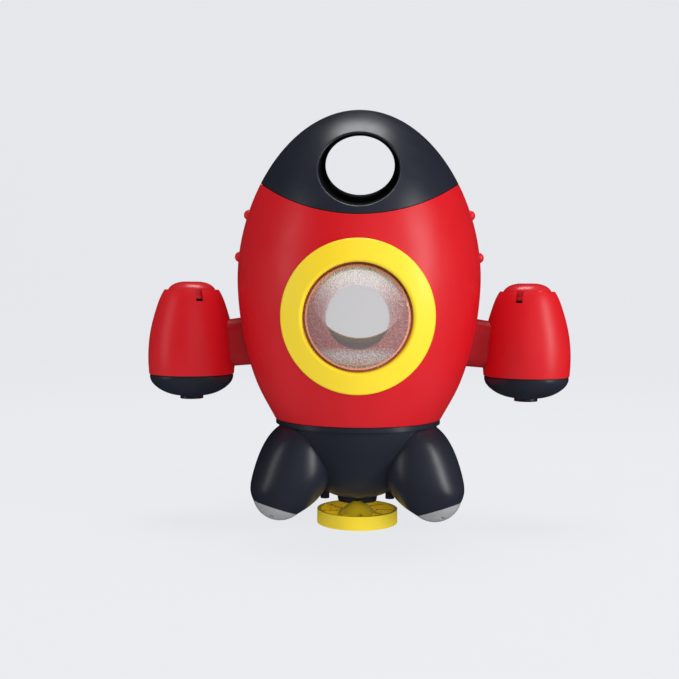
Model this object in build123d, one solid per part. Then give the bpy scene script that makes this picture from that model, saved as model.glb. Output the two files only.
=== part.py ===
"""Bath-time water rocket: a hollow egg-shaped hull that fills through a rear port, is lifted by the
hole in its nose, and drains through three spray legs and past a spinning rotor that it stands on.

Millimetres. +Z is up, the front window faces -Y, and the origin is the centre of the rotor's underside.
"""
from build123d import *
import math
import os

# ---- driving dimensions ------------------------------------------------------------------------
WALL = 2.2                       # moulded shell wall
GAP = 0.3                        # parting-line gap between visible shells
SEAM_TURN = 37.0                 # keeps the seam of a turned surface off the hull's joint plane
HULL_R = 53.4                    # widest radius of the egg
HULL_WAIST = 109.5               # height of the widest ring
HULL_BASE = 47.2                 # open lower rim
HULL_TOP = 181.8                 # tip of the nose
HULL_LOW_REACH = 86.0            # half-height of the ellipse that the lower hull is part of
HULL_HIGH_POWER = 1.82           # the upper hull is a slightly pointed ellipse

NOSE_SEAM_R = 64.8               # the nose joint is a cylinder along Y that scoops into the hull
NOSE_SEAM_Z = 197.7
NOSE_WALL = 3.6
NOSE_SKIRT = 2.8                 # tongue of the nose inside the hull
GRIP_HALF_W = 16.3               # finger hole, a slightly flattened round
GRIP_HALF_H = 13.9
GRIP_WALL = 1.2
GRIP_LIP = 1.2                   # thickness of the nose's own edge round the hole
GRIP_EDGE_R = 0.6
GRIP_Z = 157.4                   # height of the hole's axis at the centre
GRIP_TILT = 8.3                  # the hole rises towards the back

BODY_SCREWS = [(-38.0, 62.5), (38.0, 62.5), (-38.5, 126.0), (38.5, 126.0)]   # (x, z)
SCREW_R = 1.25
SCREW_CLEAR = 0.15
HEAD_R = 2.3
HEAD_H = 1.7
HEAD_Y = 6.0                     # the screw heads sit this far behind the joint plane
BODY_BOSS_R = 3.6
BODY_SCREW_LENGTH = 14.0
TAIL_SCREW_LENGTH = 12.0
FIT = 0.05                       # radial clearance of a plugged-in tube

PIP_R = 2.3
PIP_SUNK = 0.6
PIP_AZIMUTH = 82.0               # round from the front
PIP_HEIGHTS = (117.5, 135.7)

WINDOW_Z = 92.5
BEZEL_R = 31.0
BEZEL_BORE_R = 21.8
BEZEL_PROUD = 2.0
BEZEL_EDGE_R = 1.2
LENS_R = 20.8
LENS_WALL = 1.6
LENS_RIM_Y = -49.0               # where the domed face meets the lens's side wall
LENS_SAG = 5.6
SEAT_Y = -42.0                   # face of the ledge that the window is built on
SEAT_R = 27.0
SEAT_BORE_R = 19.0
CUP_R = 25.0                     # pocket for gasket, lens flange and bezel spigot
CUP_CLEAR = 0.2
SEAT_T = 2.0
GASKET_T = 1.0
FLANGE_T = 2.0

PORT_Z = 104.0
PORT_R = 24.2
PORT_TUBE_R = 25.8
PORT_FLANGE_R = 27.6
PORT_PROUD = 3.0
PORT_TUBE_Y = 38.0               # inner end of the port's tube

DECK_Z = 47.5
DECK_T = 2.0
DECK_R = 34.8
DECK_DRAIN_R = 6.0
DECK_HOLE_R = 4.5
DECK_HOLE_CIRCLE_R = 19.0
SEAL_T = 0.6
NECK_R = 36.4
NECK_T = 2.0
TAIL_TOP = DECK_Z - SEAL_T
NECK_BORE_R = 26.0
SCREW_CIRCLE_R = 32.4
SCREW_START = -90                # azimuth of the first of the three tail screws
TAIL_BOSS_R = 3.0

HUB_R = 8.9
HUB_BORE_R = 7.2
HUB_Z = 9.9                      # underside of the hub
HUB_TOP = 16.0
HUB_NOTCH_HALF = 4.3             # four gables in the hub's rim let the water out sideways
HUB_NOTCH_H = 2.6
LEG_AZIMUTHS = {"front_left": -150, "front_right": -30, "rear": 90}
LEG_SECTIONS = [                 # (distance from centre, height, radial and sideways radius, tilt)
    (40.3, 10.4, 9.8, 9.8, 20.0), (37.0, 15.4, 14.0, 14.2, 14.0), (33.4, 22.0, 16.2, 16.6, 6.0),
    (31.4, 32.0, 15.2, 16.0, 0.0), (30.0, 41.0, 11.2, 13.2, 0.0), (28.6, 44.8, 7.8, 11.0, 0.0),
]
LEG_WALL = 2.0
LEG_DUCT_R = 4.5
LEG_DUCT_Z = 29.0
PLATE_SAG = 5.2
PLATE_T = 1.4
PLATE_HOLE_R = 1.1
PLATE_HOLE_CIRCLE_R = 5.4

ROTOR_R = 17.9
ROTOR_H = 6.0
ROTOR_WALL = 1.5
ROTOR_HUB_R = 11.8
ROTOR_TIP_Z = 9.5
ROTOR_TIP_R = 2.3
VANE_COUNT = 8
VANE_CURVE_R = 9.0
VANE_T = 1.2
VANE_OFFSET = 11.5
PIN_R = 1.5
PIN_TOP = 18.5
PIN_BOSS_R = 3.2
PIN_HEAD_R = 3.0
PIN_CLEAR = 0.05

JET_X = 14.5
JET_R = 2.0
JET_BORE_R = 1.1
JET_Z = 10.5

POD_X = 74.3
POD_OUTLINE = [(18.7, 66.0), (19.1, 73.4), (18.0, 85.4), (15.3, 95.6), (13.1, 101.2), (11.9, 103.2)]
POD_WALL = 2.0
POD_SEAM_R = 18.7
POD_SEAM_Z = 66.0
POD_RIM_Z = 103.2
POD_MOUTH_R = 10.4
POD_CAP_OUTLINE = [(18.4, 65.4), (17.9, 62.9), (15.4, 60.0), (10.8, 57.4), (5.6, 56.2)]
POD_BOSS_R = 5.1
POD_BOSS_Z = 54.8
POD_JET_R = 1.4
POD_DOME_Z = 106.7
NOTCH_W = 3.0
NOTCH_DEPTH = 5.0

NOTCH_AZIMUTH = -114

ARM_Z = 80.2
ARM_SPIGOT_R = 5.0
ARM_COLLAR_R = 7.0               # stops the spigot inside the hull's wall
ARM_SECTIONS = [                 # (distance from centre, lower edge, upper edge, width)
    (42.0, 70.5, 92.8, 15.0), (53.0, 69.6, 90.8, 13.6), (64.0, 68.6, 89.4, 13.6),
]
ARM_CORNER_R = 6.0


# ---- shared shapes -----------------------------------------------------------------------------
def at(shape, x=0.0, y=0.0, z=0.0):
    return Pos(x, y, z) * shape


def cylinder(radius, z_low, z_high, x=0.0, y=0.0):
    return Pos(x, y, z_low) * Cylinder(radius, z_high - z_low, align=(Align.CENTER, Align.CENTER, Align.MIN))


def ring(outer, inner, z_low, z_high):
    return cylinder(outer, z_low, z_high) - cylinder(inner, z_low - 1, z_high + 1)


def cylinder_y(radius, y_low, y_high, x=0.0, z=0.0):
    """Cylinder along +Y from y_low to y_high."""
    body = Cylinder(radius, y_high - y_low, align=(Align.CENTER, Align.CENTER, Align.MIN))
    return Pos(x, y_low, z) * (Rot(-90, 0, 0) * body)


def cylinder_x(radius, x_low, x_high, z=0.0):
    body = Cylinder(radius, x_high - x_low, align=(Align.CENTER, Align.CENTER, Align.MIN))
    return Pos(x_low, 0, z) * (Rot(0, 90, 0) * body)


def hull_radius(height):
    if height < HULL_WAIST:
        return HULL_R * math.sqrt(1 - ((HULL_WAIST - height) / HULL_LOW_REACH) ** 2)
    rise = (height - HULL_WAIST) / (HULL_TOP - HULL_WAIST)
    return HULL_R * math.sqrt(1 - rise ** HULL_HIGH_POWER)


def hull_outline():
    """(radius, height) up the egg: an ellipse below the waist, a pointed one above it."""
    heights = [HULL_BASE + (HULL_WAIST - HULL_BASE) * i / 5 for i in range(5)]
    heights += [HULL_WAIST + (HULL_TOP - HULL_WAIST) * math.sin(math.radians(10 * i)) for i in range(9)]
    return [(hull_radius(height), height) for height in heights] + [(0.0, HULL_TOP)]


def inset_outline(outline, inset):
    """The outline moved inwards along its own normals."""
    moved = []
    last = len(outline) - 1
    for i, (r, z) in enumerate(outline):
        if i == last and r == 0:
            moved.append((0.0, z - inset))
            continue
        r0, z0 = outline[max(i - 1, 0)]
        r1, z1 = outline[min(i + 1, last)]
        length = math.hypot(r1 - r0, z1 - z0)
        moved.append((r - inset * (z1 - z0) / length, z + inset * (r1 - r0) / length))
    return moved


def spun(outline, close_top=False):
    """Solid of revolution whose side is a smooth curve through the outline's points; a closed top
    meets the axis level."""
    if close_top:
        start = (outline[1][0] - outline[0][0], outline[1][1] - outline[0][1])
        side = Spline(*outline, tangents=(start, (-1, 0)), tangent_scalars=(1, 1))
    else:
        side = Spline(*outline)
    top = side @ 1
    bottom = side @ 0
    edges = [side, Line((0, bottom.Y), (bottom.X, bottom.Y))]
    if not close_top:
        edges.append(Line((top.X, top.Y), (0, top.Y)))
    edges.append(Line((0, top.Y), (0, bottom.Y)))
    return Rot(0, 0, SEAM_TURN) * revolve(Plane.XZ * make_face(Wire(edges)), Axis.Z)


def egg(inset=0.0):
    """The hull's solid; an inset one also reaches down through the open base."""
    outline = inset_outline(hull_outline(), inset)
    body = spun(outline, close_top=True)
    if inset > 0:
        radius, base = outline[0]
        body += cylinder(radius, HULL_BASE - 5, base + 0.01)
    return body


def nose_scoop(growth=0.0):
    return cylinder_y(NOSE_SEAM_R + growth, -80, 80, z=NOSE_SEAM_Z)


def around(axis_z, outer, inner, y_low, y_high):
    """Ring about a horizontal axis along Y."""
    return cylinder_y(outer, y_low, y_high, z=axis_z) - cylinder_y(inner, y_low - 1, y_high + 1, z=axis_z)


def circle_points(radius, count, start=0.0):
    for i in range(count):
        angle = math.radians(start + 360 * i / count)
        yield radius * math.cos(angle), radius * math.sin(angle)


EGG = egg()
EGG_INNER = egg(WALL)


# ---- hull --------------------------------------------------------------------------------------
def hull_half(side, opening):
    """side is -1 for the front half and +1 for the rear half; they meet at Y = 0."""
    half_space = Pos(0, side * 60, 100) * Box(140, 120 - GAP, 220)
    solid_half = EGG & half_space
    shell = solid_half - EGG_INNER - nose_scoop() - opening
    ledge_r = hull_radius(HULL_BASE) - WALL + 1.6
    shell += ring(ledge_r, 30.0, DECK_Z + DECK_T, DECK_Z + 2 * DECK_T) & solid_half
    for x, z in BODY_SCREWS:
        boss = cylinder_y(BODY_BOSS_R, GAP / 2, 60, x, z)
        if side < 0:
            boss = mirror(boss, Plane.XZ)
        shell += boss & solid_half
        if side > 0:
            shell -= cylinder_y(HEAD_R + 2 * SCREW_CLEAR, HEAD_Y, 70, x, z)
            shell -= cylinder_y(SCREW_R + SCREW_CLEAR, -1, HEAD_Y + 1, x, z)
        else:
            shell -= cylinder_y(SCREW_R, -9, 1, x, z)
    shell -= cylinder_x(ARM_SPIGOT_R + FIT, 40, 60, ARM_Z)
    shell -= cylinder_x(ARM_SPIGOT_R + FIT, -60, -40, ARM_Z)
    for x, y in circle_points(SCREW_CIRCLE_R, 3, SCREW_START):
        shell -= cylinder(SCREW_R + SCREW_CLEAR, 45, 60, x, y)
    return shell


def make_body_front():
    body = hull_half(-1, cylinder_y(CUP_R, -70, SEAT_Y, z=WINDOW_Z))
    body += around(WINDOW_Z, SEAT_R, SEAT_BORE_R, SEAT_Y, SEAT_Y + SEAT_T) & EGG
    body += around(WINDOW_Z, SEAT_R, CUP_R, -60, SEAT_Y + SEAT_T) & EGG
    for sign in (-1, 1):
        for z in PIP_HEIGHTS:
            body += side_pip(sign, z)
    return body


def side_pip(sign, height):
    """Small half-round pip on the flank of the hull."""
    pip = Pos(hull_radius(height) - PIP_SUNK, 0, height) * (Rot(0, 90, 0) * Sphere(PIP_R))
    return Rot(0, 0, -90 + sign * PIP_AZIMUTH) * pip - EGG_INNER


def make_body_rear():
    return hull_half(1, cylinder_y(PORT_TUBE_R + FIT, 20, 70, z=PORT_Z))


def make_window_gasket():
    return around(WINDOW_Z, CUP_R - CUP_CLEAR, SEAT_BORE_R, SEAT_Y - GASKET_T, SEAT_Y)


def make_window_lens():
    """Flanged clear cup with a domed face."""
    back = SEAT_Y - GASKET_T
    front = back - FLANGE_T
    sphere_r = (LENS_R ** 2 + LENS_SAG ** 2) / (2 * LENS_SAG)
    centre_y = LENS_RIM_Y - LENS_SAG + sphere_r
    dome = at(Sphere(sphere_r), 0, centre_y, WINDOW_Z) & cylinder_y(LENS_R, -60, front, z=WINDOW_Z)
    hollow = at(Sphere(sphere_r - LENS_WALL), 0, centre_y, WINDOW_Z)
    hollow &= cylinder_y(LENS_R - LENS_WALL, -60, back + 1, z=WINDOW_Z)
    inner_tube = cylinder_y(LENS_R - LENS_WALL, -46, back + 1, z=WINDOW_Z)
    flange = cylinder_y(CUP_R - CUP_CLEAR, front, back, z=WINDOW_Z)
    return dome + flange - hollow - inner_tube


def rounded_collar(axis_z, outer, inner, proud, reach):
    """Collar that follows the hull's surface, standing proud of it with rounded edges."""
    blank = egg(-proud) & around(axis_z, outer, inner, *reach)
    rims = [e for e in blank.edges() if e.length > 5 * inner and abs(e.center().Y) > 20]
    return fillet(rims, BEZEL_EDGE_R) - EGG


def make_window_bezel():
    collar = rounded_collar(WINDOW_Z, BEZEL_R, BEZEL_BORE_R, BEZEL_PROUD, (-70, 0))
    spigot = around(WINDOW_Z, CUP_R - CUP_CLEAR, BEZEL_BORE_R, -60, SEAT_Y - GASKET_T - FLANGE_T) & EGG
    return collar + spigot


def make_rear_port_ring():
    collar = rounded_collar(PORT_Z, PORT_FLANGE_R, PORT_R, PORT_PROUD, (0, 70))
    tube = around(PORT_Z, PORT_TUBE_R, PORT_R, PORT_TUBE_Y, 60) & EGG
    return collar + tube


# ---- nose --------------------------------------------------------------------------------------
def grip_bar(growth=0.0):
    """Bar that fills the tilted finger hole."""
    tilt = math.radians(GRIP_TILT)
    plane = Plane(origin=(0, 0, GRIP_Z), x_dir=(1, 0, 0), z_dir=(0, math.cos(tilt), math.sin(tilt)))
    return extrude(plane * Ellipse(GRIP_HALF_W + growth, GRIP_HALF_H + growth), 70, both=True)


def make_nose_cap():
    shell = (EGG - egg(NOSE_WALL)) & nose_scoop(-GAP)
    shell = shell - grip_bar() - (grip_bar(GRIP_WALL) & egg(GRIP_LIP))
    skirt = (egg(WALL + 0.2) - egg(NOSE_WALL)) & (nose_scoop(NOSE_SKIRT) - nose_scoop(-2))
    cap = shell + skirt
    hole_edges = [e for e in cap.edges() if 60 < e.length < 140]
    front_edge = min(hole_edges, key=lambda e: e.center().Y)
    return fillet(front_edge, GRIP_EDGE_R)


def make_grip_sleeve():
    return (grip_bar(GRIP_WALL) - grip_bar()) & egg(GRIP_LIP)


# ---- tail --------------------------------------------------------------------------------------
TAIL_OUTLINE = [(NECK_R - 1.2, TAIL_TOP - NECK_T), (33.4, 38.0), (27.2, 28.0), (19.5, 18.6), (12.8, 13.6),
                (HUB_R, 12.4)]


def tail_cone(inset):
    return spun([(r - inset, z + 0.4 * inset) for r, z in reversed(TAIL_OUTLINE)])


def leg_solid(inset, below=0.0):
    """Round-section leg along +X; below carries an inset one down through the spray plate's seat."""
    faces = []
    for x, z, radial, sideways, tilt in LEG_SECTIONS:
        lean = math.radians(tilt)
        plane = Plane(origin=(x, 0, z), x_dir=(0, 1, 0), z_dir=(-math.sin(lean), 0, math.cos(lean)))
        faces.append(plane * Ellipse(sideways - inset, radial - inset))
    body = loft(faces)
    if below:
        x, z, radial, _, tilt = LEG_SECTIONS[0]
        seat = Rot(0, -tilt, 0) * cylinder(radial - inset, -below, 0.5)
        body += at(seat, x, 0, z)
    return body


LEG = leg_solid(0.0)


def leg_at(shape, azimuth):
    return Rot(0, 0, azimuth) * shape


def make_tail_base():
    cone = tail_cone(0) - tail_cone(LEG_WALL)
    flange = ring(NECK_R, NECK_BORE_R, TAIL_TOP - NECK_T, TAIL_TOP)
    hub = ring(HUB_R, HUB_BORE_R, HUB_Z, HUB_TOP)
    body = cone + flange + hub
    for azimuth in LEG_AZIMUTHS.values():
        body -= leg_at(LEG, azimuth)
    pin_boss = cylinder(PIN_BOSS_R, HUB_Z, 20.0)
    web = Pos(0, 0, 15.5) * Box(2 * HUB_BORE_R + 1, 1.6, 7)
    for angle in (0, 60, 120):
        pin_boss += Rot(0, 0, angle) * web
    body += pin_boss
    for x, y in circle_points(SCREW_CIRCLE_R, 3, SCREW_START):
        body += cylinder(TAIL_BOSS_R, 37.0, TAIL_TOP, x, y) & tail_cone(-0.01)
        body -= cylinder(SCREW_R, 38.5, 50, x, y)
    gable = Polyline((-HUB_NOTCH_HALF, -1), (0, HUB_NOTCH_H), (HUB_NOTCH_HALF, -1), close=True)
    notch = extrude(Plane.YZ.offset(HUB_BORE_R - 2) * make_face(gable), 6)
    for quarter in range(4):
        body -= Rot(0, 0, 90 * quarter) * at(notch, z=HUB_Z)
    for sign in (-1, 1):
        body -= cylinder(JET_R, 8, 26, sign * JET_X)
    body -= cylinder(PIN_R, 0, PIN_TOP)
    return body


def make_leg(azimuth):
    hollow = leg_solid(LEG_WALL, below=4.0)
    duct = cylinder_x(LEG_DUCT_R, 0, 30, z=LEG_DUCT_Z)
    return leg_at(LEG - hollow - duct, azimuth)


def make_spray_plate(azimuth):
    """Domed sieve that closes the open end of a leg."""
    x, z, radius, _, tilt = LEG_SECTIONS[0]
    sphere_r = (radius ** 2 + PLATE_SAG ** 2) / (2 * PLATE_SAG)
    centre = sphere_r - PLATE_SAG
    plate = at(Sphere(sphere_r), 0, 0, centre) - at(Sphere(sphere_r - PLATE_T), 0, 0, centre)
    plate &= cylinder(radius + 1, -PLATE_SAG - 1, 0)
    spigot = ring(radius - LEG_WALL - 0.1, radius - LEG_WALL - 1.3, -1.5, 2.0)
    spigot &= at(Sphere(sphere_r), 0, 0, centre)
    plate += spigot
    plate -= cylinder(PLATE_HOLE_R, -10, 0)
    for hx, hy in circle_points(PLATE_HOLE_CIRCLE_R, 6):
        plate -= cylinder(PLATE_HOLE_R, -10, 0, hx, hy)
    return leg_at(at(Rot(0, -tilt, 0) * plate, x, 0, z), azimuth)


def make_drain_deck():
    deck = ring(DECK_R, DECK_DRAIN_R, DECK_Z, DECK_Z + DECK_T)
    for x, y in circle_points(DECK_HOLE_CIRCLE_R, 3, 90):
        deck -= cylinder(DECK_HOLE_R, 40, 60, x, y)
    for x, y in circle_points(SCREW_CIRCLE_R, 3, SCREW_START):
        deck -= cylinder(SCREW_R + SCREW_CLEAR, 40, 60, x, y)
    return deck


def make_deck_seal():
    seal = ring(DECK_R - 0.4, NECK_BORE_R + 1.0, TAIL_TOP, DECK_Z)
    for x, y in circle_points(SCREW_CIRCLE_R, 3, SCREW_START):
        seal -= cylinder(SCREW_R + SCREW_CLEAR, 40, 60, x, y)
    return seal


def make_vane_jet(sign):
    return at(ring(JET_R, JET_BORE_R, JET_Z, 22), sign * JET_X)


# ---- rotor -------------------------------------------------------------------------------------
def make_rotor():
    rim = ring(ROTOR_R, ROTOR_R - ROTOR_WALL, 0, ROTOR_H)
    cone = Cone(ROTOR_HUB_R, ROTOR_TIP_R, ROTOR_TIP_Z - 1.0, align=(Align.CENTER, Align.CENTER, Align.MIN))
    hollow = at(cone, z=-0.4) - cylinder(4.6, -1, 12)
    body = rim + at(cone, z=1.0) - hollow
    vane_zone = ring(ROTOR_R - 0.5, ROTOR_HUB_R - 3.2, 0, ROTOR_H)
    vane = ring(VANE_CURVE_R + VANE_T / 2, VANE_CURVE_R - VANE_T / 2, 1.0, 5.0)
    vane &= at(Box(60, 20, 20), y=10 + VANE_CURVE_R / 2)
    blade = at(vane, VANE_OFFSET, 2.0 - VANE_CURVE_R) & vane_zone
    for i in range(VANE_COUNT):
        body += Rot(0, 0, 360 * i / VANE_COUNT) * blade
    body -= cylinder(PIN_R + PIN_CLEAR, -1, 12)
    body -= cylinder(PIN_HEAD_R + 0.4, -1, 3.0)
    return body


def make_rotor_pin():
    """Shoulder screw that the rotor turns on."""
    head = cylinder(PIN_HEAD_R, 1.2, 2.8) - at(Box(4.2, 0.9, 1.6), z=1.2)
    head -= at(Box(0.9, 4.2, 1.6), z=1.2)
    return head + cylinder(PIN_R, 2.8, PIN_TOP - 0.1)


# ---- arms and pods -----------------------------------------------------------------------------
def pod_solid(inset=0.0):
    return spun([(r - inset, z) for r, z in POD_OUTLINE])


def arm_blank():
    """Strut along +X, a rounded bar that slopes down slightly towards the pod."""
    faces = []
    for x, z_low, z_high, width in ARM_SECTIONS:
        plane = Plane(origin=(x, 0, (z_low + z_high) / 2), x_dir=(0, 1, 0), z_dir=(1, 0, 0))
        faces.append(plane * RectangleRounded(width, z_high - z_low, ARM_CORNER_R))
    return loft(faces)


def mirrored(shape, sign):
    return shape if sign > 0 else mirror(shape, Plane.YZ)


def make_arm(sign):
    arm = arm_blank() - EGG - at(pod_solid(), POD_X)
    arm += cylinder_x(ARM_SPIGOT_R, 45.6, POD_X - 14.5, ARM_Z)
    arm += cylinder_x(ARM_COLLAR_R, 44.2, 45.8, ARM_Z)
    return mirrored(arm, sign)


def make_pod_shell(sign):
    shell = pod_solid() - pod_solid(POD_WALL)
    shell += ring(12.6, POD_MOUTH_R, POD_RIM_Z - 2.2, POD_RIM_Z) & pod_solid()
    shell -= cylinder(POD_MOUTH_R, 98, 110)
    shell -= Rot(0, 0, NOTCH_AZIMUTH) * at(Box(6, NOTCH_W, 2 * NOTCH_DEPTH), 12.0, 0, POD_RIM_Z)
    shell = at(shell, POD_X)
    shell -= cylinder_x(ARM_SPIGOT_R + FIT, 50, POD_X - 12, ARM_Z)
    return mirrored(shell, sign)


def make_pod_dome(sign):
    radius = POD_MOUTH_R - 0.1
    bore = POD_MOUTH_R - 1.7
    base = cylinder(radius, 100.0, 103.4)
    crown = spun([(radius, 103.4), (8.6, 105.2), (6.4, 106.2), (4.0, POD_DOME_Z)])
    lip = ring(POD_MOUTH_R + 1.2, bore, 99.2, 100.6) & pod_solid(POD_WALL + 0.1)
    dome = base + crown - cylinder(bore, 99, 103.6) + lip
    return mirrored(at(dome, POD_X), sign)


def make_pod_cap(sign):
    outer = spun(list(reversed(POD_CAP_OUTLINE)))
    inner = spun([(r - POD_WALL, z + POD_WALL) for r, z in reversed(POD_CAP_OUTLINE)])
    spigot = ring(POD_SEAM_R - POD_WALL - 0.1, POD_SEAM_R - 2 * POD_WALL, 62.4, POD_SEAM_Z + 2.5)
    cap = outer - inner + spigot - cylinder(POD_BOSS_R - 1.2, 50, 62)
    return mirrored(at(cap, POD_X), sign)


def make_pod_seal(sign):
    seal = ring(POD_SEAM_R - 0.4, POD_SEAM_R - POD_WALL, POD_SEAM_Z - SEAL_T, POD_SEAM_Z)
    return mirrored(at(seal, POD_X), sign)


def make_pod_nozzle(sign):
    nozzle = cylinder(POD_BOSS_R, POD_BOSS_Z, 56.2) + cylinder(POD_BOSS_R - 1.2, 55, 60)
    nozzle -= cylinder(POD_JET_R, 50, 62)
    return mirrored(at(nozzle, POD_X), sign)


# ---- fasteners ---------------------------------------------------------------------------------
def screw(length):
    """Pan-head screw standing on its head's underside at z = 0, with its shank downwards."""
    head = cylinder(HEAD_R, 0, HEAD_H)
    cross = at(Box(3.0, 0.7, 1.6), z=HEAD_H) + at(Box(0.7, 3.0, 1.6), z=HEAD_H)
    return head - cross + cylinder(SCREW_R, -length, 0)


def make_body_screws():
    one = Rot(-90, 0, 0) * screw(BODY_SCREW_LENGTH)
    return [at(one, x, HEAD_Y, z) for x, z in BODY_SCREWS]


def make_tail_screws():
    top = DECK_Z + 2 * DECK_T
    return [at(screw(TAIL_SCREW_LENGTH), x, y, top) for x, y in circle_points(SCREW_CIRCLE_R, 3, SCREW_START)]


# ---- nodes -------------------------------------------------------------------------------------
nodes = {
    "body_front": make_body_front(),
    "body_rear": make_body_rear(),
    "nose_cap": make_nose_cap(),
    "grip_sleeve": make_grip_sleeve(),
    "window_gasket": make_window_gasket(),
    "window_lens": make_window_lens(),
    "window_bezel": make_window_bezel(),
    "rear_port_ring": make_rear_port_ring(),
    "drain_deck": make_drain_deck(),
    "deck_seal": make_deck_seal(),
    "tail_base": make_tail_base(),
    "rotor": make_rotor(),
    "rotor_pin": make_rotor_pin(),
    "body_screws": Compound(children=make_body_screws()),
    "tail_screws": Compound(children=make_tail_screws()),
}
for place, azimuth in LEG_AZIMUTHS.items():
    nodes[f"leg_{place}"] = make_leg(azimuth)
    nodes[f"spray_plate_{place}"] = make_spray_plate(azimuth)
for side, sign in (("left", -1), ("right", 1)):
    nodes[f"vane_jet_{side}"] = make_vane_jet(sign)
    nodes[f"arm_{side}"] = make_arm(sign)
    nodes[f"pod_shell_{side}"] = make_pod_shell(sign)
    nodes[f"pod_dome_{side}"] = make_pod_dome(sign)
    nodes[f"pod_cap_{side}"] = make_pod_cap(sign)
    nodes[f"pod_seal_{side}"] = make_pod_seal(sign)
    nodes[f"pod_nozzle_{side}"] = make_pod_nozzle(sign)

os.makedirs("parts", exist_ok=True)
for name, shape in nodes.items():
    export_step(shape, f"parts/{name}.step")
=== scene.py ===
"""Looks for the bath rocket: procedural plastics on the CAD pieces, a textured lens, studio light."""
import bpy
import math
from mathutils import Matrix, Vector


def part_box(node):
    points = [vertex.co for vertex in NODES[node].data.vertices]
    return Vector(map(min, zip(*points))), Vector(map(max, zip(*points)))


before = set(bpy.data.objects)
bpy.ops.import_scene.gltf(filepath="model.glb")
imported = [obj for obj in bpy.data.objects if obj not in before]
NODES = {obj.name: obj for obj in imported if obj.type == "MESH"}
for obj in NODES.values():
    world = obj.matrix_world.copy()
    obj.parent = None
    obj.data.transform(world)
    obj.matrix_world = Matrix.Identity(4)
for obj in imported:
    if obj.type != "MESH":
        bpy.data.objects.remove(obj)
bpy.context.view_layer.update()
MM = 0.001

# Window: a polished disc, then frosting with the lit and shaded inside painted on it and painted shade
# towards the sides, then the moulded edge with a painted glow.
CLEAR_DISC_R = 12.5 * MM
LENS_RIM_R = 20.0 * MM
LENS_FROST_BLUR = 0.4 * MM
LENS_RIM_BLUR = 0.15 * MM
LENS_TINT_MARGIN = 3 * MM
SIDE_SHADE_X = (7 * MM, 18 * MM)
CLEAR_TINT = (0.36, 0.32, 0.31)
SIDE_SHADE_TINT = (0.40, 0.19, 0.19)
RIM_GLOW_TINT = (0.80, 0.33, 0.22)
# Painted light and shade: the frost colour by height stands in for the inside seen through the lens, lit
# orange low, a shaded maroon band, pale light at the top.
FROST_PAINTED_LIGHT_TINTS = [                  # (share of the window's height, colour)
    (0.0, (0.74, 0.36, 0.20)), (0.16, (0.70, 0.34, 0.21)), (0.24, (0.54, 0.26, 0.24)),
    (0.60, (0.56, 0.34, 0.33)), (1.0, (0.74, 0.66, 0.65)),
]
CLEAR_VEIL = 0.26                # least opacity anywhere on the window
FROST_VEIL = (0.10, 0.36)
SIDE_VEIL = 0.32
RIM_VEIL = 0.85

# Moulded skin: strength and depth of the two bumps.
GRAIN_STRENGTH = 0.25
GRAIN_DEPTH = 0.03 * MM
SINK_STRENGTH = 0.12
SINK_DEPTH = 0.12 * MM


# ---- material helpers --------------------------------------------------------------------------
class Graph:
    """A Principled material with short calls for the nodes that it needs."""

    def __init__(self, name):
        self.material = bpy.data.materials.new(name)
        self.material.use_nodes = True
        self.tree = self.material.node_tree
        self.shader = self.tree.nodes["Principled BSDF"]
        self.coords = self.tree.nodes.new("ShaderNodeTexCoord").outputs["Object"]

    def set(self, **values):
        for name, value in values.items():
            self.shader.inputs[name.replace("_", " ")].default_value = value

    def link(self, source, target):
        self.tree.links.new(source, target)

    def scaled(self, x, y, z):
        node = self.tree.nodes.new("ShaderNodeMapping")
        node.inputs["Scale"].default_value = (x, y, z)
        self.link(self.coords, node.inputs["Vector"])
        return node.outputs["Vector"]

    def noise(self, scale, detail=3.0, roughness=0.5, vector=None):
        node = self.tree.nodes.new("ShaderNodeTexNoise")
        node.inputs["Scale"].default_value = scale
        node.inputs["Detail"].default_value = detail
        node.inputs["Roughness"].default_value = roughness
        self.link(vector or self.coords, node.inputs["Vector"])
        return node.outputs["Fac"]

    def voronoi(self, scale):
        node = self.tree.nodes.new("ShaderNodeTexVoronoi")
        node.inputs["Scale"].default_value = scale
        self.link(self.coords, node.inputs["Vector"])
        return node.outputs["Distance"]

    def ramp(self, value, low, high, out_low, out_high):
        node = self.tree.nodes.new("ShaderNodeMapRange")
        bounds = {"From Min": low, "From Max": high, "To Min": out_low, "To Max": out_high}
        for name, number in bounds.items():
            node.inputs[name].default_value = number
        self.link(value, node.inputs["Value"])
        return node.outputs["Result"]

    def mix(self, factor, low, high, blend="MIX"):
        """low and high are colours or the outputs of other nodes; factor is a number or an output."""
        node = self.tree.nodes.new("ShaderNodeMix")
        node.data_type = "RGBA"
        node.blend_type = blend
        for side, value in (("A", low), ("B", high)):
            if isinstance(value, tuple):
                node.inputs[side].default_value = (*value, 1)
            else:
                self.link(value, node.inputs[side])
        if isinstance(factor, float):
            node.inputs["Factor"].default_value = factor
        else:
            self.link(factor, node.inputs["Factor"])
        return node.outputs["Result"]

    def colour_ramp(self, value, stops):
        """stops start at 0 and end at 1."""
        node = self.tree.nodes.new("ShaderNodeValToRGB")
        elements = node.color_ramp.elements
        for place, colour in stops:
            stop = elements.new(place) if 0 < place < 1 else elements[int(place)]
            stop.color = (*colour, 1)
        self.link(value, node.inputs["Fac"])
        return node.outputs["Color"]

    def math(self, operation, a, b):
        node = self.tree.nodes.new("ShaderNodeMath")
        node.operation = operation
        for i, value in enumerate((a, b)):
            if isinstance(value, (int, float)):
                node.inputs[i].default_value = value
            else:
                self.link(value, node.inputs[i])
        return node.outputs[0]

    def bump(self, height, strength, distance, normal=None):
        node = self.tree.nodes.new("ShaderNodeBump")
        node.inputs["Strength"].default_value = strength
        node.inputs["Distance"].default_value = distance
        self.link(height, node.inputs["Height"])
        if normal:
            self.link(normal, node.inputs["Normal"])
        return node.outputs["Normal"]


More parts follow.
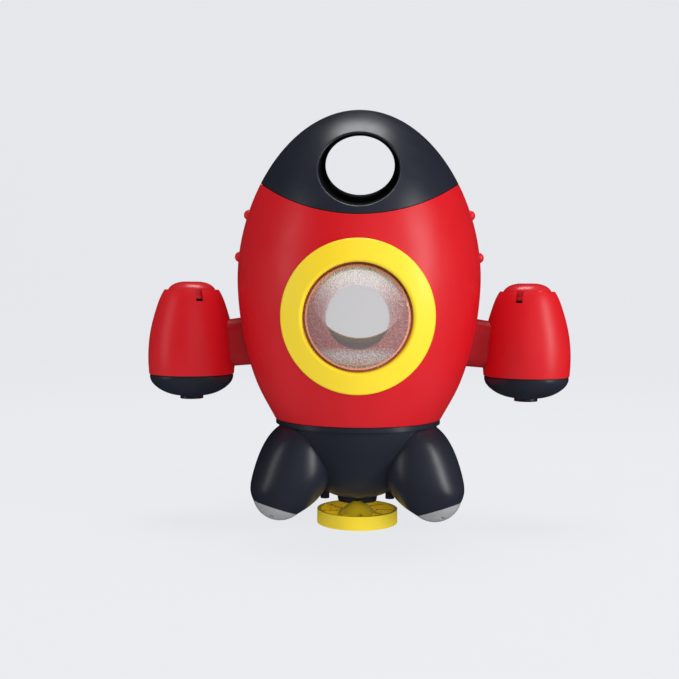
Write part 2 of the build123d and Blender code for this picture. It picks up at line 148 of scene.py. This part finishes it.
def moulded_plastic(name, dark, light, roughness, **extra):
    """Satin moulded plastic: fine spark-eroded grain, slow flow marks in the colour, uneven polish."""
    g = Graph(name)
    flow = g.noise(26, 3, 0.45, g.scaled(1, 1, 0.35))
    g.link(g.mix(g.ramp(flow, 0.3, 0.7, 0, 1), dark, light), g.shader.inputs["Base Color"])
    polish = g.noise(70, 4, 0.6)
    g.link(g.ramp(polish, 0.3, 0.7, roughness - 0.035, roughness + 0.045), g.shader.inputs["Roughness"])
    skin = g.bump(g.noise(2600, 2, 0.5), GRAIN_STRENGTH, GRAIN_DEPTH)
    skin = g.bump(g.noise(120, 2, 0.4), SINK_STRENGTH, SINK_DEPTH, skin)
    g.link(skin, g.shader.inputs["Normal"])
    g.set(**extra)
    return g.material


RED = moulded_plastic("red_plastic", (0.60, 0.0050, 0.0105), (0.66, 0.0070, 0.0140), 0.38,
                      Specular_IOR_Level=0.36)
NAVY = moulded_plastic("navy_plastic", (0.0150, 0.0175, 0.0270), (0.0185, 0.0215, 0.0330), 0.35,
                       Specular_IOR_Level=0.50)
BLACK = moulded_plastic("black_plastic", (0.0080, 0.0080, 0.0090), (0.0110, 0.0110, 0.0120), 0.36,
                        Specular_IOR_Level=0.40)
YELLOW = moulded_plastic("yellow_plastic", (0.96, 0.68, 0.018), (0.98, 0.74, 0.028), 0.36,
                         Specular_IOR_Level=0.42)
# Painted shade: a darker copy of the red for the arms, which sit in the shade of the pods and the hull.
SHADED_RED = moulded_plastic("strut_red_painted_shade", (0.36, 0.0030, 0.0080), (0.40, 0.0042, 0.0100), 0.42,
                             Specular_IOR_Level=0.25)
DOME = moulded_plastic("red_dome", (0.60, 0.012, 0.020), (0.66, 0.018, 0.028), 0.30, Specular_IOR_Level=0.5)
NOZZLE = moulded_plastic("dark_nozzle", (0.012, 0.013, 0.018), (0.018, 0.019, 0.026), 0.35)
DECK = moulded_plastic("deck_plastic", (0.46, 0.24, 0.13), (0.52, 0.29, 0.17), 0.42)
SEAL = moulded_plastic("seal_rubber", (0.010, 0.010, 0.010), (0.016, 0.016, 0.016), 0.62)


def make_plate_material():
    """Pale, cloudy, slightly see-through plastic of the spray plates."""
    g = Graph("grey_plate")
    cloud = g.noise(260, 3, 0.6)
    g.link(g.mix(cloud, (0.36, 0.36, 0.36), (0.55, 0.55, 0.56)), g.shader.inputs["Base Color"])
    g.link(g.bump(g.voronoi(900), 0.4, 0.00015), g.shader.inputs["Normal"])
    g.set(Roughness=0.32, Transmission_Weight=0.25, IOR=1.49)
    return g.material


def make_steel():
    """Bright fasteners with fine turning marks."""
    g = Graph("steel")
    g.link(g.mix(g.noise(900, 3, 0.6, g.scaled(1, 1, 0.05)), (0.42, 0.42, 0.43), (0.62, 0.62, 0.64)),
           g.shader.inputs["Base Color"])
    g.link(g.ramp(g.noise(400), 0.3, 0.7, 0.22, 0.38), g.shader.inputs["Roughness"])
    g.set(Metallic=1.0)
    return g.material


def make_lens_material():
    """Clear polished disc in the middle of a frosted dome, with painted glints, painted light and shade of
    the inside seen through it, and a painted glow on the edge.
    """
    g = Graph("clear_lens")
    low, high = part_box("window_lens")
    middle = (low + high) / 2
    place = g.tree.nodes.new("ShaderNodeMapping")
    place.inputs["Location"].default_value = (-middle.x, 0, -middle.z)
    g.link(g.coords, place.inputs["Vector"])
    flat = g.tree.nodes.new("ShaderNodeVectorMath")
    flat.operation = "MULTIPLY"
    flat.inputs[1].default_value = (1, 0, 1)
    g.link(place.outputs["Vector"], flat.inputs[0])
    radius = g.tree.nodes.new("ShaderNodeVectorMath")
    radius.operation = "LENGTH"
    g.link(flat.outputs["Vector"], radius.inputs[0])
    distance = radius.outputs["Value"]
    split = g.tree.nodes.new("ShaderNodeSeparateXYZ")
    g.link(g.coords, split.inputs["Vector"])

    frost = g.ramp(distance, CLEAR_DISC_R - LENS_FROST_BLUR, CLEAR_DISC_R + LENS_FROST_BLUR, 0, 1)
    rim = g.ramp(distance, LENS_RIM_R - LENS_RIM_BLUR, LENS_RIM_R + LENS_RIM_BLUR, 0, 1)
    rise = g.ramp(split.outputs["Z"], low.z + LENS_TINT_MARGIN, high.z - LENS_TINT_MARGIN, 0, 1)
    sideways = g.ramp(g.math("ABSOLUTE", split.outputs["X"], 0), *SIDE_SHADE_X, 0, 1)
    grains = g.ramp(g.voronoi(1500), 0.1, 0.7, 0.0, 1.0)

    # Painted glints: light and dark speckles of the frosted grain mixed into the colour.
    glint_speckles = g.mix(grains, (0.30, 0.28, 0.27), (0.80, 0.77, 0.75))
    # The colour by height is painted light and shade of the inside; the glints are laid over it.
    colour = g.mix(0.40, g.colour_ramp(rise, FROST_PAINTED_LIGHT_TINTS), glint_speckles, "OVERLAY")
    # Painted shade: the frost darkens and turns maroon towards the sides, less near the top, standing in for
    # the shaded inside.
    shade = g.math("MULTIPLY", sideways, g.ramp(rise, 0.6, 1.0, 0.85, 0.25))
    colour = g.mix(shade, colour, SIDE_SHADE_TINT)
    colour = g.mix(frost, CLEAR_TINT, colour)
    # Painted glow: the salmon edge band stands in for light coming through the red shell around the lens.
    g.link(g.mix(rim, colour, RIM_GLOW_TINT), g.shader.inputs["Base Color"])

    veil = g.math("MULTIPLY", frost, g.ramp(g.noise(1300, 2, 0.7), 0.35, 0.65, *FROST_VEIL))
    # The sides are also made more opaque so that the painted shade covers the inside.
    veil = g.math("ADD", veil, g.math("MULTIPLY", frost, g.math("MULTIPLY", sideways, SIDE_VEIL)))
    veil = g.math("MAXIMUM", veil, g.math("MULTIPLY", rim, RIM_VEIL))
    g.link(g.math("ADD", veil, CLEAR_VEIL), g.shader.inputs["Alpha"])
    g.link(g.bump(g.math("MULTIPLY", frost, grains), 0.9, 0.00035), g.shader.inputs["Normal"])
    g.set(Roughness=0.30)
    return g.material


PLATE = make_plate_material()
STEEL = make_steel()
LENS = make_lens_material()

FINISHES = [("body_", RED), ("arm_", SHADED_RED), ("pod_shell", RED), ("pod_dome", DOME), ("nose_cap", NAVY),
            ("tail_base", NAVY), ("leg_", NAVY), ("pod_cap", NAVY), ("grip_sleeve", BLACK),
            ("window_bezel", YELLOW), ("rear_port", YELLOW), ("rotor", YELLOW), ("window_lens", LENS),
            ("spray_plate", PLATE), ("window_gasket", SEAL), ("deck_seal", SEAL), ("pod_seal", SEAL),
            ("rotor_pin", STEEL), ("body_screws", STEEL), ("tail_screws", STEEL), ("vane_jet", NOZZLE),
            ("pod_nozzle", NOZZLE), ("drain_deck", DECK)]

for node_name, node in NODES.items():
    chosen = [m for prefix, m in FINISHES if node_name.startswith(prefix)][-1]
    node.data.materials.clear()
    node.data.materials.append(chosen)


# ---- studio ------------------------------------------------------------------------------------
TOY_CENTRE = Vector((0, 0, 0.09))
PAPER_GLOW = (0.80, 0.81, 0.845, 1)
WORLD_COLOUR = (0.80, 0.81, 0.84, 1)


def area_light(name, place, size, power, glossy=True):
    """Rectangular light aimed at the middle of the toy."""
    data = bpy.data.lights.new(name, "AREA")
    data.shape = "RECTANGLE"
    data.size, data.size_y = size
    data.energy = power
    light = bpy.data.objects.new(name, data)
    light.location = place
    light.rotation_euler = (TOY_CENTRE - Vector(place)).to_track_quat("-Z", "Y").to_euler()
    light.visible_glossy = glossy
    bpy.context.scene.collection.objects.link(light)


def make_backdrop():
    """Pale sweep: floor, quarter-round, wall."""
    depth, bend, height, half = 1.0, 0.6, 1.8, 3.0
    profile = [(-2.4, 0.0), (depth, 0.0)]
    for i in range(1, 13):
        a = math.radians(90 * i / 12)
        profile.append((depth + bend * math.sin(a), bend * (1 - math.cos(a))))
    profile.append((depth + bend, height))
    verts = [(x, y, z) for y, z in profile for x in (-half, half)]
    faces = [(2 * i, 2 * i + 1, 2 * i + 3, 2 * i + 2) for i in range(len(profile) - 1)]
    mesh = bpy.data.meshes.new("backdrop")
    mesh.from_pydata(verts, [], faces)
    mesh.shade_smooth()
    sweep = bpy.data.objects.new("backdrop", mesh)
    bpy.context.scene.collection.objects.link(sweep)
    g = Graph("backdrop_paper")
    g.link(g.mix(g.noise(3), (0.08, 0.081, 0.084), (0.09, 0.091, 0.094)), g.shader.inputs["Base Color"])
    g.set(Roughness=0.9, Specular_IOR_Level=0.0, Emission_Color=PAPER_GLOW, Emission_Strength=0.93)
    mesh.materials.append(g.material)
    sweep.visible_glossy = False


make_backdrop()
area_light("key_right", (0.80, -0.46, 0.34), (0.19, 0.80), 5.0)
area_light("strip_left", (-0.84, -0.36, 0.30), (0.16, 0.80), 1.4)
area_light("front", (0.30, -1.10, 0.45), (0.9, 0.9), 5.0, glossy=False)
area_light("top", (0.0, 0.10, 0.95), (0.5, 0.36), 4.2)

world = bpy.data.worlds.new("studio")
world.use_nodes = True
background = world.node_tree.nodes["Background"]
background.inputs["Color"].default_value = WORLD_COLOUR
background.inputs["Strength"].default_value = 0.30
world.cycles_visibility.glossy = False
bpy.context.scene.world = world

# ---- camera ------------------------------------------------------------------------------------
CAMERA_DISTANCE = 0.430
CAMERA_HEIGHT = 0.102
CAMERA_SIDE = math.radians(0.4)
CAMERA_PITCH = math.radians(2.74)
CAMERA_YAW = math.radians(1.12)
CAMERA_ROLL = math.radians(0.35)
FOCAL_LENGTH = 51.4

lens = bpy.data.cameras.new("camera")
lens.sensor_width = 36
lens.lens = FOCAL_LENGTH
lens.clip_start = 0.01
camera = bpy.data.objects.new("camera", lens)
bpy.context.scene.collection.objects.link(camera)
eye_x = CAMERA_DISTANCE * math.sin(CAMERA_SIDE)
eye_y = -CAMERA_DISTANCE * math.cos(CAMERA_SIDE)
camera.matrix_world = (
    Matrix.Translation((eye_x, eye_y, CAMERA_HEIGHT))
    @ Matrix.Rotation(CAMERA_SIDE + CAMERA_YAW, 4, "Z")
    @ Matrix.Rotation(math.radians(90) - CAMERA_PITCH, 4, "X")
    @ Matrix.Rotation(CAMERA_ROLL, 4, "Z"))
bpy.context.scene.camera = camera
bpy.context.scene.view_settings.view_transform = "Standard"
